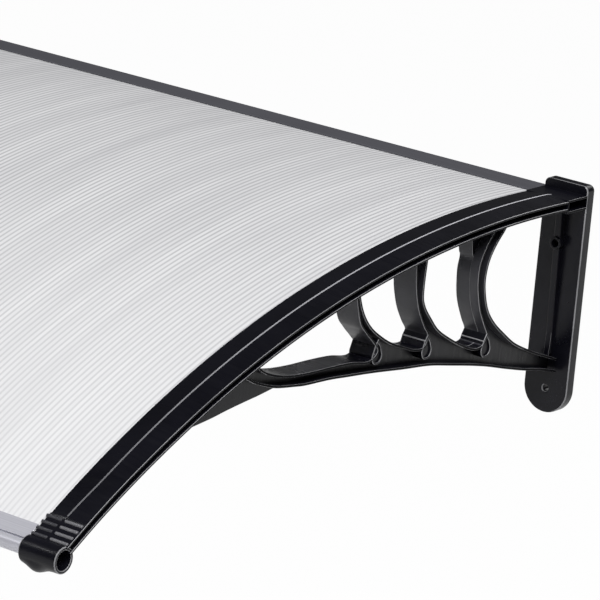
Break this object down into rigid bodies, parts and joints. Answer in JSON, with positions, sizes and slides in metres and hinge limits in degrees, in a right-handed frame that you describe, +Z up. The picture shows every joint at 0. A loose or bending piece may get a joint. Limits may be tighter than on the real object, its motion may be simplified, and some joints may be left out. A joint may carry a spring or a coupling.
{
  "type": "door canopy",
  "caption": "Curved door canopy: a bent twin-wall sheet held in moulded lattice wall brackets, with aluminium bars along the wall and the front edge.",
  "frame": {"origin": "middle of the rear bar's back face, on the wall plane", "axes": "+X to the right along the wall, +Y into the wall, +Z up; the roof reaches out along -Y"},
  "size_m": [1.2, 0.7731, 0.2365],
  "materials": {
    "bracket_plastic": "satin black moulded plastic",
    "roof_sheet": "clear twin-wall sheet with fine webs",
    "rear_bar": "dark grey anodised",
    "front_bar": "satin silver",
    "screw": "zinc plated"
  },
  "bodies": {
    "root": {"bracket_right": "bracket_plastic", "bracket_left": "bracket_plastic", "roof_sheet": "roof_sheet", "rear_bar": "rear_bar", "front_bar": "front_bar", "rear_screw_right": "screw", "rear_screw_left": "screw"}
  },
  "joints": []
}
